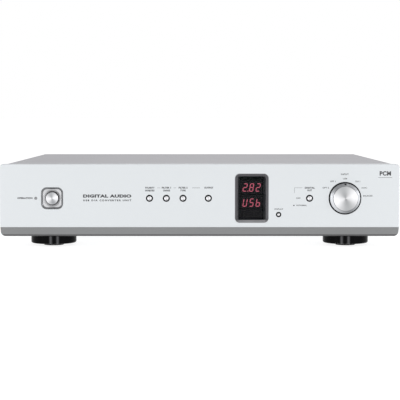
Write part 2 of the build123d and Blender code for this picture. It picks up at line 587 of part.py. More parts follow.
# ---- feet ----------------------------------------------------------------------------------------------
with BuildPart() as feet:
    for x, y in FEET:
        with BuildSketch(Plane(origin=(x, y, 0), x_dir=(1, 0, 0), z_dir=(0, -1, 0))) as foot_outline:
            with BuildLine():
                Line((0, PAD_T), (PAD_R + 0.1, PAD_T))
                Line((PAD_R + 0.1, PAD_T), (PAD_R + 0.1, FOOT_LOW))
                Line((PAD_R + 0.1, FOOT_LOW), (PAD_R + 1.4, FOOT_LOW))
                Line((PAD_R + 1.4, FOOT_LOW), (FOOT_R - 1.5, 2.6))
                RadiusArc((FOOT_R - 1.5, 2.6), (FOOT_R, 4.2), -1.7)
                Line((FOOT_R, 4.2), (FOOT_R, FOOT_TOP))
                Line((FOOT_R, FOOT_TOP), (NECK_R, FOOT_TOP))
                Line((NECK_R, FOOT_TOP), (NECK_R, BASE_Z))
                Line((NECK_R, BASE_Z), (0, BASE_Z))
                Line((0, BASE_Z), (0, PAD_T))
            make_face()
        revolve(foot_outline.sketch, axis=Axis((x, y, 0), UP))
        post(x, y, PAD_T, 8.0, 4.5, Mode.SUBTRACT)
        post(x, y, 8.0, BASE_Z, 2.1, Mode.SUBTRACT)
save(feet, "feet")

with BuildPart() as foot_pads:
    for x, y in FEET:
        post(x, y, 0, PAD_T, PAD_R)
    fillet(foot_pads.faces().group_by(Axis.Z)[0].edges(), 0.4)
save(foot_pads, "foot_pads")

with BuildPart() as foot_screws:
    for x, y in FEET:
        screw((x, y, 8.0), (0, 0, -1), 13, shank_r=2.0, head_r=3.8, head_h=2.8)
save(foot_screws, "foot_screws")

NUT_LOW_Y = REAR_FRONT - 2.4
with BuildPart() as panel_nuts:
    hexagon(KNOB_X, ROW_Z, PANEL_BACK - 2.6, PANEL_BACK, 7.5)
    rod(KNOB_X, ROW_Z, PANEL_BACK - 2.6, PANEL_BACK, 4.55, Mode.SUBTRACT)
    for x, z in RCA:
        hexagon(x, z, NUT_LOW_Y, REAR_FRONT, 6.2)
        rod(x, z, NUT_LOW_Y, REAR_FRONT, RCA_THREAD_R + 0.05, Mode.SUBTRACT)
    for x, y in FEET:
        with BuildSketch(Plane.XY.offset(FLOOR_Z)):
            with Locations((x, y)):
                RegularPolygon(4.0, 6)
                Circle(2.05, mode=Mode.SUBTRACT)
        extrude(amount=3.2)
save(panel_nuts, "panel_nuts")

# ---- power supply --------------------------------------------------------------------------------------
LEG_W = 32.0
WINDOW_W, WINDOW_L = 16.0, 48.0
COIL_GAP = 0.2
CORE_MID_Z = (CORE_LOW + CORE_HIGH) / 2

with BuildPart() as transformer_core:
    block(*TRANSFORMER, CORE_LOW, CORE_HIGH, CORE_X, CORE_Y, 1.5)
    for side in (-1, 1):
        window_x = TRANSFORMER[0] + side * (LEG_W + WINDOW_W) / 2
        block(window_x, TRANSFORMER[1], CORE_LOW, CORE_HIGH, WINDOW_W, WINDOW_L, 0, Mode.SUBTRACT)
    for x, y in CORE_POSTS:
        post(x, y, CORE_LOW, CORE_HIGH, HOLE_R, Mode.SUBTRACT)
save(transformer_core, "transformer_core")

with BuildPart() as transformer_coil:
    coil_w = LEG_W + 2 * WINDOW_W - 2 * COIL_GAP
    coil_l = WINDOW_L - 2 * COIL_GAP
    coil_y = TRANSFORMER[1] - coil_l / 2
    wall = WINDOW_W - 2 * COIL_GAP
    coil_h = CORE_STACK + 2 * COIL_GAP + 2 * 11.0
    slab(TRANSFORMER[0], CORE_MID_Z, coil_w, coil_h, coil_y, coil_y + coil_l, 6)
    leg_hole = (coil_w - 2 * wall, CORE_STACK + 2 * COIL_GAP)
    slab(TRANSFORMER[0], CORE_MID_Z, *leg_hole, coil_y, coil_y + coil_l, 0, Mode.SUBTRACT)
save(transformer_coil, "transformer_coil")

PARTITION_X = -30.0
with BuildPart() as partition_wall:
    block(PARTITION_X, 15, FLOOR_Z, INNER_TOP - 4, COVER_T, 330)
    block(PARTITION_X + 5, 15, FLOOR_Z, FLOOR_Z + COVER_T, 10, 330)
save(partition_wall, "partition_wall")

CAP_BANK = [(x, y) for x in (-162.0, -130.0, -98.0, -66.0) for y in (72.0, 104.0)]
for name, board in (("power_board", POWER_BOARD), ("dac_board", DAC_BOARD), ("digital_board", DIGITAL_BOARD)):
    with BuildPart() as circuit_board:
        block(board[0], board[1], BOARD_Z, BOARD_TOP, board[2], board[3], 2)
        for x, y in BOARD_POSTS:
            post(x, y, BOARD_Z, BOARD_TOP, HOLE_R, Mode.SUBTRACT)
    save(circuit_board, name)

with BuildPart() as filter_capacitors:
    for x, y in CAP_BANK:
        post(x, y, BOARD_TOP, BOARD_TOP + 40, 12.5)
        post(x, y, BOARD_TOP + 39.4, BOARD_TOP + 40, 10.5, Mode.SUBTRACT)
save(filter_capacitors, "filter_capacitors")

SINK = (-118.0, 38.0)
with BuildPart() as heat_sink:
    block(*SINK, BOARD_TOP, BOARD_TOP + 34, 110, 4)
    for step in range(12):
        fin_x = SINK[0] - 55 + 1 + step * 108 / 11
        block(fin_x, SINK[1] - 8, BOARD_TOP, BOARD_TOP + 34, 1.6, 12)
save(heat_sink, "heat_sink")

# centre x, centre y, size x, size y, height of each component on a board
CHIPS = [
    (60.0, 92.0, 10.0, 10.0, 1.8),
    (142.0, 92.0, 10.0, 10.0, 1.8),
    (60.0, -70.0, 20.0, 20.0, 2.0),
    (110.0, -70.0, 14.0, 14.0, 1.8),
    (150.0, -90.0, 14.0, 20.0, 6.0),
    (150.0, -50.0, 14.0, 20.0, 6.0),
    (100.0, -130.0, 28.0, 6.0, 7.4),
    (30.0, -30.0, 26.0, 6.0, 7.4),
    (30.0, 40.0, 26.0, 6.0, 7.4),
    (60.0, -30.0, 6.0, 6.0, 1.5),
]
CHIPS += [(x, 66.0 + 12 * row, 5.0, 6.2, 1.8) for x in (84.0, 118.0, 168.0) for row in range(3)]
CHIPS += [(x, 140.0, 20.0, 10.0, 10.0) for x in (80.0, 120.0, 160.0)]
CHIPS += [(SINK[0] + dx, SINK[1] + 4.4, 10.0, 4.6, 16.0) for dx in (-36.0, -12.0, 12.0, 36.0)]
with BuildPart() as board_chips:
    for x, y, size_x, size_y, height in CHIPS:
        block(x, y, BOARD_TOP, BOARD_TOP + height, size_x, size_y)
save(board_chips, "board_chips")

# ---- wiring inside the case ----------------------------------------------------------------------------
RIBBON_Z, RIBBON_Y, RIBBON_X, RIBBON_W = 48.0, -130.0, 100.0, 24.0
with BuildPart() as ribbon_cable:
    with BuildSketch(Plane.YZ.offset(RIBBON_X - RIBBON_W / 2)):
        with BuildLine():
            FilletPolyline(
                (CONTROL_Y + BOARD_T, RIBBON_Z),
                (RIBBON_Y, RIBBON_Z),
                (RIBBON_Y, BOARD_TOP + 7.4),
                radius=8,
            )
        trace(line_width=1.0)
    extrude(amount=RIBBON_W)
save(ribbon_cable, "ribbon_cable")

LEAD_R = 1.6
LEAD_Z = INLET[1] - 2.0
INLET_BACK = 168.0
TAB_BACK = INLET_BACK - 6.0
COIL_TOP_LEAD = CORE_HIGH + 6.0
SUPPLY_ROUTES = [
    [
        (INLET[0] - 7, TAB_BACK, LEAD_Z),
        (INLET[0] - 7, 150, LEAD_Z),
        (-203, 125, LEAD_Z),
        (-203, -110, LEAD_Z),
        (POWER_X - 5, -130, ROW_Z),
        (POWER_X - 5, SWITCH_BACK + 5, ROW_Z),
    ],
    [
        (POWER_X + 5, SWITCH_BACK + 5, ROW_Z),
        (POWER_X + 5, -132, ROW_Z),
        (TRANSFORMER[0] - 18, -122, COIL_TOP_LEAD),
        (TRANSFORMER[0] - 18, coil_y, COIL_TOP_LEAD),
    ],
    [
        (INLET[0] + 7, TAB_BACK, LEAD_Z),
        (INLET[0] + 7, 154, LEAD_Z),
        (INLET[0] + 20, 140, COIL_TOP_LEAD),
        (TRANSFORMER[0] + 18, -20, COIL_TOP_LEAD),
        (TRANSFORMER[0] + 18, coil_y + coil_l, COIL_TOP_LEAD),
    ],
]
with BuildPart() as mains_leads:
    for route in SUPPLY_ROUTES:
        with BuildLine() as path:
            FilletPolyline(*route, radius=5)
        with BuildSketch(Plane(origin=route[0], z_dir=path.line % 0)) as section:
            Circle(LEAD_R)
        sweep(section.sketch, path=path.line)
save(mains_leads, "mains_leads")

# ---- mains inlet ---------------------------------------------------------------------------------------
INLET_MOUTH_Y = BACK_Y + 2.5
INLET_FLOOR_Y = INLET_MOUTH_Y - 17.5
CAVITY_W, CAVITY_H, CAVITY_CUT = 24.6, 16.8, 4.0
BLADES = [(INLET[0] - 7, INLET[1] - 2), (INLET[0], INLET[1] + 2), (INLET[0] + 7, INLET[1] - 2)]
BLADE_W, BLADE_H = 2.0, 4.0

with BuildPart() as ac_inlet:
    slab(*INLET, 50, 26, BACK_Y, INLET_MOUTH_Y, 4)
    slab(*INLET, INLET_BODY_W, INLET_BODY_H, INLET_BACK, BACK_Y)
    with BuildSketch(depth_plane(INLET_FLOOR_Y)):
        with Locations(INLET):
            cavity = Rectangle(CAVITY_W, CAVITY_H)
        chamfer(cavity.vertices().group_by(Axis.Y)[-1], CAVITY_CUT)
    extrude(amount=INLET_MOUTH_Y - INLET_FLOOR_Y, dir=TO_BACK, mode=Mode.SUBTRACT)
    for x, z in BLADES:
        slab(x, z, BLADE_W + 0.1, BLADE_H + 0.1, INLET_BACK, INLET_FLOOR_Y, 0, Mode.SUBTRACT)
    for x, z in INLET_SCREWS:
        rod(x, z, BACK_Y, INLET_MOUTH_Y, HOLE_R, Mode.SUBTRACT)
save(ac_inlet, "ac_inlet")

with BuildPart() as ac_inlet_pins:
    for x, z in BLADES:
        slab(x, z, BLADE_W, BLADE_H, TAB_BACK, INLET_MOUTH_Y - 3)
    chamfer(ac_inlet_pins.faces().group_by(Axis.Y)[-1].edges(), 0.4)
save(ac_inlet_pins, "ac_inlet_pins")

# ---- digital sockets -----------------------------------------------------------------------------------
USB_MOUTH_Y = BACK_Y + 0.8
with BuildPart() as usb_socket:
    slab(*USB, USB_W, USB_H, USB_MOUTH_Y - 16, USB_MOUTH_Y)
    with BuildSketch(depth_plane(USB_MOUTH_Y - 11)):
        with Locations(USB):
            mouth = Rectangle(8.5, 7.8)
        chamfer(mouth.vertices().group_by(Axis.Y)[-1], 1.6)
    extrude(amount=11, dir=TO_BACK, mode=Mode.SUBTRACT)
    slab(*USB, 5.6, 3.2, USB_MOUTH_Y - 11, USB_MOUTH_Y - 1.8)
save(usb_socket, "usb_socket")

OPTICAL_MOUTH_Y = BACK_Y + 1.0
OPTICAL_DEPTH = 11.0
BORE_W, BORE_H = 6.4, 6.4
HINGE_Y = OPTICAL_MOUTH_Y - 1.6
HINGE_R = 0.45
FLAP_T = 0.6
HINGE_DROP = 0.75  # hinge line below the ceiling of the mouth

with BuildPart() as optical_sockets:
    for x, z in OPTICAL:
        slab(x, z, OPTICAL_W, OPTICAL_H, OPTICAL_MOUTH_Y - 14, OPTICAL_MOUTH_Y)
        slab(x, z, BORE_W, BORE_H, OPTICAL_MOUTH_Y - OPTICAL_DEPTH, OPTICAL_MOUTH_Y, 0, Mode.SUBTRACT)
        hinge_z = z + BORE_H / 2 - HINGE_DROP
        with BuildSketch(Plane.YZ.offset(x - BORE_W / 2 - 0.7)):
            with Locations((HINGE_Y, hinge_z)):
                Circle(HINGE_R + 0.05)
        extrude(amount=BORE_W + 1.4, mode=Mode.SUBTRACT)
save(optical_sockets, "optical_sockets")

for number, (x, z) in enumerate(OPTICAL, start=1):
    with BuildPart() as optical_shutter:
        hinge_z = z + BORE_H / 2 - HINGE_DROP
        with BuildSketch(Plane.YZ.offset(x - BORE_W / 2 - 0.6)):
            with Locations((HINGE_Y, hinge_z)):
                Circle(HINGE_R)
        extrude(amount=BORE_W + 1.2)
        flap_low = z - BORE_H / 2 + 0.3
        flap_mid = (flap_low + hinge_z) / 2
        slab(x, flap_mid, BORE_W - 0.4, hinge_z - flap_low, HINGE_Y - FLAP_T / 2, HINGE_Y + FLAP_T / 2)
    save(optical_shutter, f"optical_shutter_{number}")

JACK_TIP = BACK_Y + JACK_PROUD
JACK_SHELL_R, JACK_INNER_R = 4.15, 3.3
JACK_BACK = BACK_Y - 10.0
WASHER_T = 1.6
CONTACT_R, CONTACT_HOLE_R = 2.25, 1.65
with BuildPart() as rca_shells:
    for x, z in RCA:
        rod(x, z, BACK_Y + WASHER_T, JACK_TIP, JACK_SHELL_R)
        rod(x, z, JACK_BACK, BACK_Y + WASHER_T, RCA_THREAD_R)
        rod(x, z, JACK_BACK, JACK_TIP, JACK_INNER_R, Mode.SUBTRACT)
save(rca_shells, "rca_shells")

with BuildPart() as rca_insulators:
    for x, z in RCA:
        rod(x, z, BACK_Y, BACK_Y + WASHER_T, 6.5)
        rod(x, z, BACK_Y, BACK_Y + WASHER_T, RCA_THREAD_R + 0.05, Mode.SUBTRACT)
        rod(x, z, JACK_BACK, JACK_TIP - 1.2, JACK_INNER_R - 0.02)
        rod(x, z, JACK_BACK, JACK_TIP - 1.2, CONTACT_R + 0.02, Mode.SUBTRACT)
save(rca_insulators, "rca_insulators")

with BuildPart() as rca_contacts:
    for x, z in RCA:
        rod(x, z, JACK_BACK, JACK_TIP - 1.6, CONTACT_R)
        rod(x, z, JACK_TIP - 13.6, JACK_TIP - 1.6, CONTACT_HOLE_R, Mode.SUBTRACT)
        rod(x, z, JACK_BACK - 5, JACK_BACK, 0.9)
save(rca_contacts, "rca_contacts")

# ---- three-pole round sockets --------------------------------------------------------------------------
XLR_MOUTH_Y = BACK_Y + 2.0
XLR_BACK = BACK_Y - 24.0
XLR_BORE_R = 9.7
XLR_FLOOR_Y = XLR_MOUTH_Y - 15.5
POLES = [(5.2 * cos(radians(a)), 5.2 * sin(radians(a))) for a in (20, 160, 270)]
POLE_R = 1.2
LATCH_LOW, LATCH_HIGH = 10.1, 11.5
LATCH_TRAVEL = 1.5

with BuildPart() as xlr_shells:
    for x, z in XLR:
        slab(x, z, XLR_FLANGE_W, XLR_FLANGE_H, BACK_Y, XLR_MOUTH_Y, 2)
        rod(x, z, XLR_BACK, BACK_Y, XLR_BODY_R)
        rod(x, z, XLR_BACK, XLR_MOUTH_Y, XLR_BORE_R, Mode.SUBTRACT)
    for x, z in XLR_SCREWS:
        rod(x, z, BACK_Y, XLR_MOUTH_Y, HOLE_R, Mode.SUBTRACT)
    slab(XLR_IN[0], XLR_IN[1] + 10.9, LATCH_W + 0.4, 2.4, BACK_Y - 9, XLR_MOUTH_Y, 0, Mode.SUBTRACT)
save(xlr_shells, "xlr_shells")

with BuildPart() as xlr_inserts:
    for x, z in XLR_OUT:
        rod(x, z, XLR_BACK, XLR_FLOOR_Y, XLR_BORE_R - 0.05)
        for dx, dz in POLES:
            rod(x + dx, z + dz, XLR_BACK, XLR_FLOOR_Y, POLE_R + 0.05, Mode.SUBTRACT)
    x, z = XLR_IN
    rod(x, z, XLR_BACK, XLR_FLOOR_Y, XLR_BORE_R - 0.05)
    rod(x, z, XLR_FLOOR_Y, XLR_MOUTH_Y - 0.8, 7.6)
    for dx, dz in POLES:
        rod(x - dx, z + dz, XLR_MOUTH_Y - 12.8, XLR_MOUTH_Y - 0.8, 1.3, Mode.SUBTRACT)
save(xlr_inserts, "xlr_inserts")

with BuildPart() as xlr_pins:
    for x, z in XLR_OUT:
        for dx, dz in POLES:
            rod(x + dx, z + dz, XLR_BACK - 5, XLR_MOUTH_Y - 2.5, POLE_R)
    fillet(xlr_pins.faces().group_by(Axis.Y)[-1].edges(), 0.5)
save(xlr_pins, "xlr_pins")

with BuildPart() as xlr_latch:
    x, z = XLR_IN
    tab_y = XLR_MOUTH_Y + LATCH_TRAVEL + 0.2
    slab(x, z + (LATCH_LOW + LATCH_HIGH) / 2, LATCH_W, LATCH_HIGH - LATCH_LOW, BACK_Y - 6, tab_y)
    slab(x, z + LATCH_LOW + 1.9, LATCH_W + 2, 3.8, tab_y, tab_y + 1.4, 0.8)
save(xlr_latch, "xlr_latch")
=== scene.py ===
"""Looks for the full-width converter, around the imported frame: camera, light, materials, printed legends, the
display's numerals and the knob's index mark. Metres, unless a name or a comment says millimetres."""

import json
import math

import bmesh
import bpy
from mathutils import Matrix, Vector


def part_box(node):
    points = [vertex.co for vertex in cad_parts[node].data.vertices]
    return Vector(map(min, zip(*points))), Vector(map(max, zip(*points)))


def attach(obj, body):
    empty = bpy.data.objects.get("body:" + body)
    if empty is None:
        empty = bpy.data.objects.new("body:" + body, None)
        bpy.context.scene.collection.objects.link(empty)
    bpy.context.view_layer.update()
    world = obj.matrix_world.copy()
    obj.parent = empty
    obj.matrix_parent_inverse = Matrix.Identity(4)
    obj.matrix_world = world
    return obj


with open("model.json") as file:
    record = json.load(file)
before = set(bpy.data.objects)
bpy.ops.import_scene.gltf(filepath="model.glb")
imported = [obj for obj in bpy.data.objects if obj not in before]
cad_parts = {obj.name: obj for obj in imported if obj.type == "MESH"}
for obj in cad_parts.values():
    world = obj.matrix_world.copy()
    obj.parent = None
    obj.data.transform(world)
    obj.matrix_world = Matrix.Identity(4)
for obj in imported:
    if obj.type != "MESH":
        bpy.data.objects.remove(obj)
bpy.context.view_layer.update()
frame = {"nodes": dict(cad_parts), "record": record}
nodes = frame["nodes"]
MM = 0.001


def centre(node):
    low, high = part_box(node)
    return (low + high) / 2


FACE_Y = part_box("front_panel")[0].y
BACK_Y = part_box("rear_panel")[1].y
ROW_Z = centre("power_button").z
mount_at = {m["name"]: Vector(m["pos_m"]) for m in frame["record"]["mounts"]}

# ---- camera, at the photograph's angle ------------------------------------------------------------------
CAMERA_AT = Vector((-0.0014, FACE_Y - 1.442, 0.146))
CAMERA_AIM = Vector((0.0004, FACE_Y, 0.0525))
camera_data = bpy.data.cameras.new("camera")
camera_data.lens = 118.15
camera_data.sensor_width = 36.0
camera = bpy.data.objects.new("camera", camera_data)
bpy.context.scene.collection.objects.link(camera)
camera.location = CAMERA_AT
camera.rotation_euler = (CAMERA_AIM - CAMERA_AT).to_track_quat("-Z", "Y").to_euler()
bpy.context.scene.camera = camera
bpy.context.scene.view_settings.view_transform = "Standard"


# ---- light ----------------------------------------------------------------------------------------------
def panel_light(name, at, aim, width, height, radiance):
    """A soft rectangular light. Its power follows from its size, so that radiance is what the object sees."""
    data = bpy.data.lights.new(name, "AREA")
    data.shape = "RECTANGLE"
    data.size, data.size_y = width, height
    data.energy = radiance * math.pi * width * height
    light = bpy.data.objects.new(name, data)
    light.location = at
    light.rotation_euler = (Vector(aim) - Vector(at)).to_track_quat("-Z", "Y").to_euler()
    light.visible_camera = False
    bpy.context.scene.collection.objects.link(light)


MIDDLE = (0.0, 0.0, 0.05)
panel_light("front", (0.0, FACE_Y - 2.3, 0.62), (0.0, FACE_Y, 0.05), 3.2, 1.3, 0.35)
panel_light("overhead", (0.0, -0.3, 1.7), MIDDLE, 1.6, 1.0, 0.9)
panel_light("side_left", (-1.35, FACE_Y - 1.0, 0.30), MIDDLE, 0.5, 0.7, 4.0)
panel_light("side_right", (1.35, FACE_Y - 1.0, 0.30), MIDDLE, 0.5, 0.7, 4.0)
panel_light("behind", (0.3, 1.9, 1.2), MIDDLE, 1.2, 0.7, 1.2)

# the backdrop is white, and the room that lights the object is dimmer
world = bpy.data.worlds.new("world")
world.use_nodes = True
world_tree = world.node_tree
room = world_tree.nodes["Background"]
room.inputs["Color"].default_value = (1.0, 1.0, 1.0, 1.0)
room.inputs["Strength"].default_value = 0.6
backdrop = world_tree.nodes.new("ShaderNodeBackground")
backdrop.inputs["Color"].default_value = (1.0, 1.0, 1.0, 1.0)
seen = world_tree.nodes.new("ShaderNodeLightPath")
either = world_tree.nodes.new("ShaderNodeMixShader")
world_tree.links.new(seen.outputs["Is Camera Ray"], either.inputs[0])
world_tree.links.new(room.outputs[0], either.inputs[1])
world_tree.links.new(backdrop.outputs[0], either.inputs[2])
world_tree.links.new(either.outputs[0], world_tree.nodes["World Output"].inputs["Surface"])
bpy.context.scene.world = world


# ---- material tools -------------------------------------------------------------------------------------
WAVE_SCALE = math.tau / 20  # the scale of a wave texture is this over its pitch
NOISE_LOW, NOISE_HIGH = 0.3, 0.7  # nearly all of a noise texture lies between these
FAN_TILT = math.radians(16)  # from level to the brightest direction of the painted highlight on turned metal


class Finish:
    """A node material with a Principled shader, built up from procedural layers."""

    def __init__(self, name, colour, metallic=0.0, roughness=0.5, specular=0.5, **sockets):
        self.material = bpy.data.materials.new(name)
        self.material.use_nodes = True
        self.tree = self.material.node_tree
        self.shader = self.tree.nodes["Principled BSDF"]
        self.colour = colour
        self.height = None
        self.set("Base Color", (*colour, 1.0))
        self.set("Metallic", metallic)
        self.set("Roughness", roughness)
        self.set("Specular IOR Level", specular)
        for socket, value in sockets.items():
            self.set(socket.replace("_", " "), value)

    def set(self, socket, value):
        self.shader.inputs[socket].default_value = value

    def node(self, kind, **settings):
        made = self.tree.nodes.new(kind)
        for key, value in settings.items():
            setattr(made, key, value)
        return made

    def join(self, source, target):
        self.tree.links.new(source, target)

    def place(self, scale=(1, 1, 1), shift=(0, 0, 0)):
        """Object coordinates in metres, moved by shift and then scaled."""
        where = self.node("ShaderNodeTexCoord")
        move = self.node("ShaderNodeVectorMath", operation="SUBTRACT")
        move.inputs[1].default_value = shift
        grow = self.node("ShaderNodeVectorMath", operation="MULTIPLY")
        grow.inputs[1].default_value = scale
        self.join(where.outputs["Object"], move.inputs[0])
        self.join(move.outputs[0], grow.inputs[0])
        return grow.outputs[0]

    def noise(self, size_mm, detail=2.0, stretch=(1, 1, 1)):
        """Noise from 0 to 1 with features of the given size."""
        made = self.node("ShaderNodeTexNoise")
        made.inputs["Scale"].default_value = 1 / (size_mm * MM)
        made.inputs["Detail"].default_value = detail
        self.join(self.place(stretch), made.inputs["Vector"])
        return made.outputs["Fac"]

    def mapped(self, value, low, high):
        """Stretches a texture's value to run from low to high."""
        made = self.node("ShaderNodeMapRange")
        made.inputs["From Min"].default_value = NOISE_LOW
        made.inputs["From Max"].default_value = NOISE_HIGH
        made.inputs["To Min"].default_value = low
        made.inputs["To Max"].default_value = high
        self.join(value, made.inputs["Value"])
        return made.outputs["Result"]

    def vary_roughness(self, low, high, size_mm, stretch=(1, 1, 1)):
        self.join(self.mapped(self.noise(size_mm, 3.0, stretch), low, high), self.shader.inputs["Roughness"])
        return self

    def mix(self, factor, first, second):
        """Mixes two colours, each a colour or a socket."""
        made = self.node("ShaderNodeMix", data_type="RGBA")
        self.join(factor, made.inputs["Factor"])
        for socket, value in ((made.inputs[6], first), (made.inputs[7], second)):
            if isinstance(value, bpy.types.NodeSocket):
                self.join(value, socket)
            else:
                socket.default_value = (*value, 1.0)
        return made.outputs[2]

    def vary_colour(self, other, size_mm, stretch=(1, 1, 1)):
        """Drifts from the base colour to another one."""
        factor = self.mapped(self.noise(size_mm, 3.0, stretch), 0.0, 1.0)
        self.join(self.mix(factor, self.colour, other), self.shader.inputs["Base Color"])
        return self

    def relief(self, value, depth_mm):
        """Adds a height field to the bump."""
        bump = self.node("ShaderNodeBump")
        bump.inputs["Strength"].default_value = 1.0
        bump.inputs["Distance"].default_value = depth_mm * MM
        self.join(value, bump.inputs["Height"])
        if self.height:
            self.join(self.height, bump.inputs["Normal"])
        self.height = bump.outputs["Normal"]
        self.join(self.height, self.shader.inputs["Normal"])
        return self

    def grain(self, size_mm, depth_mm, stretch=(1, 1, 1), detail=2.0):
        return self.relief(self.noise(size_mm, detail, stretch), depth_mm)

    def rings(self, axis_at, pitch_mm, depth_mm):
        """Turning marks: grooves round a line along Y."""
        wave = self.node("ShaderNodeTexWave", wave_type="RINGS", rings_direction="Y")
        wave.inputs["Scale"].default_value = WAVE_SCALE / (pitch_mm * MM)
        self.join(self.place(shift=axis_at), wave.inputs["Vector"])
        return self.relief(wave.outputs["Fac"], depth_mm)

    def stripes(self, direction, pitch_mm, depth_mm=0.0, other=None):
        """Even stripes across X, Y or Z, as relief, as a second colour, or as both."""
        wave = self.node("ShaderNodeTexWave", wave_type="BANDS", bands_direction=direction)
        wave.inputs["Scale"].default_value = WAVE_SCALE / (pitch_mm * MM)
        self.join(self.place(), wave.inputs["Vector"])
        if depth_mm:
            self.relief(wave.outputs["Fac"], depth_mm)
        if other:
            factor = self.mapped(wave.outputs["Fac"], 0.0, 1.0)
            self.join(self.mix(factor, self.colour, other), self.shader.inputs["Base Color"])
        return self

    def fan(self, axis_at, shaded, narrow=1.0, tilt=FAN_TILT):
        """A painted highlight that fans out round a line along Y: the base colour to both sides, the shaded
        colour above and below.
        It is set by where a point lies in the room, so it stays put while the piece turns."""
        where = self.node("ShaderNodeNewGeometry")
        out = self.node("ShaderNodeVectorMath", operation="SUBTRACT")
        out.inputs[1].default_value = axis_at
        self.join(where.outputs["Position"], out.inputs[0])
        flat = self.node("ShaderNodeVectorMath", operation="MULTIPLY")
        flat.inputs[1].default_value = (1, 0, 1)
        self.join(out.outputs[0], flat.inputs[0])
        unit = self.node("ShaderNodeVectorMath", operation="NORMALIZE")
        self.join(flat.outputs[0], unit.inputs[0])
        along = self.node("ShaderNodeVectorMath", operation="DOT_PRODUCT")
        along.inputs[1].default_value = (math.cos(tilt), 0, math.sin(tilt))
        self.join(unit.outputs[0], along.inputs[0])
        bright = self.math("POWER", self.math("ABSOLUTE", along.outputs["Value"], 0.0), 2.0 * narrow)
        return self.mix(bright, shaded, self.colour)

    def coordinate(self, axis):
        """One of the object coordinates, in metres."""
        split = self.node("ShaderNodeSeparateXYZ")
        self.join(self.place(), split.inputs[0])
        return split.outputs[axis]

    def beyond(self, value, limit):
        """1 where value is over limit, else 0."""
        return self.math("GREATER_THAN", value, limit)

    def near(self, value, at, reach):
        """1 where value is at, falling smoothly to 0 at reach from it."""
        distance = self.math("ABSOLUTE", self.math("SUBTRACT", value, at), 0.0)
        fade = self.node("ShaderNodeMapRange", interpolation_type="SMOOTHSTEP")
        fade.inputs["From Max"].default_value = reach
        fade.inputs["To Min"].default_value = 1.0
        fade.inputs["To Max"].default_value = 0.0
        self.join(distance, fade.inputs["Value"])
        return fade.outputs["Result"]

    def math(self, operation, first, second):
        """Arithmetic on two values, each a number or a socket."""
        made = self.node("ShaderNodeMath", operation=operation)
        for socket, value in zip(made.inputs, (first, second)):
            if isinstance(value, bpy.types.NodeSocket):
                self.join(value, socket)
            else:
                socket.default_value = value
        return made.outputs[0]

    def on(self, *names):
        """Gives the finish to CAD nodes."""
        for name in names:
            for place in nodes[name].material_slots:
                place.material = self.material
        return self


# ---- finishes of the outside ----------------------------------------------------------------------------
satin = Finish("satin_aluminium", (0.725, 0.752, 0.772), 1.0, 0.42)
satin.vary_roughness(0.38, 0.46, 90, (0.4, 1, 1)).grain(0.35, 0.0016).on("front_panel")

# the trim bar is the face's aluminium painted darker, a painted shade for a chin that faces down; its lowest
# part is painted darker still, a painted shade along the bottom edge
TRIM_SHADED_GREY, TRIM_EDGE_SHADE = (0.262, 0.266, 0.270), (0.115, 0.115, 0.118)
TRIM_EDGE_H = 2.0 * MM
trim = Finish("trim_aluminium", TRIM_SHADED_GREY, 1.0, 0.42)
above_edge = trim.beyond(trim.coordinate("Z"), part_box("lower_trim")[0].z + TRIM_EDGE_H)
trim.join(trim.mix(above_edge, TRIM_EDGE_SHADE, TRIM_SHADED_GREY), trim.shader.inputs["Base Color"])
trim.vary_roughness(0.38, 0.47, 70, (0.4, 1, 1)).grain(0.35, 0.0016).on("lower_trim")

cover = Finish("cover_paint", (0.525, 0.52, 0.545), 0.0, 0.55, 0.15)
cover.vary_colour((0.505, 0.50, 0.525), 40).grain(0.5, 0.02, detail=3).on("top_cover")

rear_paint = Finish("rear_paint", (0.018, 0.018, 0.02), 0.0, 0.6, 0.3)
rear_paint.vary_roughness(0.52, 0.66, 12).grain(0.45, 0.025, detail=3).on("rear_panel")

zinc = Finish("zinc_steel", (0.55, 0.56, 0.58), 1.0, 0.38)
zinc.vary_colour((0.47, 0.49, 0.53), 14).vary_roughness(0.3, 0.5, 6, (1, 0.15, 1))
zinc.on("sub_panel", "bottom_plate", "side_rail_left", "side_rail_right", "partition_wall")


def spun(name, node, colour, shaded, roughness=0.34, narrow=1.0):
    """Turned aluminium, whose highlights fan out across the turning marks: partly real anisotropic reflection,
    partly a painted fan highlight in the base colour.
    """
    made = Finish(name, colour, 1.0, roughness, Anisotropic=0.7, Anisotropic_Rotation=0.25)
    tangent = made.node("ShaderNodeTangent", direction_type="RADIAL", axis="Y")
    made.join(tangent.outputs[0], made.shader.inputs["Tangent"])
    made.rings(centre(node), 0.3, 0.0006)
    made.tone = made.fan(centre(node), shaded, narrow)
    made.join(made.tone, made.shader.inputs["Base Color"])
    made.vary_roughness(roughness - 0.03, roughness + 0.03, 3)
    return made


# Each turned piece has a finish of its own, since its painted highlights fan out round its own axis.
# The power button's side, behind the rounded front, lies in the shade of the recess.
power_metal = spun("spun_power_button", "power_button", (0.88, 0.88, 0.90), (0.42, 0.43, 0.445))
SHADE, SHADE_DEPTH = (0.16, 0.16, 0.165), 0.5 * MM
in_shade = power_metal.beyond(power_metal.coordinate("Y"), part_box("power_button")[0].y + SHADE_DEPTH)
power_tone = power_metal.mix(in_shade, power_metal.tone, SHADE)
power_metal.join(power_tone, power_metal.shader.inputs["Base Color"])
power_metal.on("power_button")
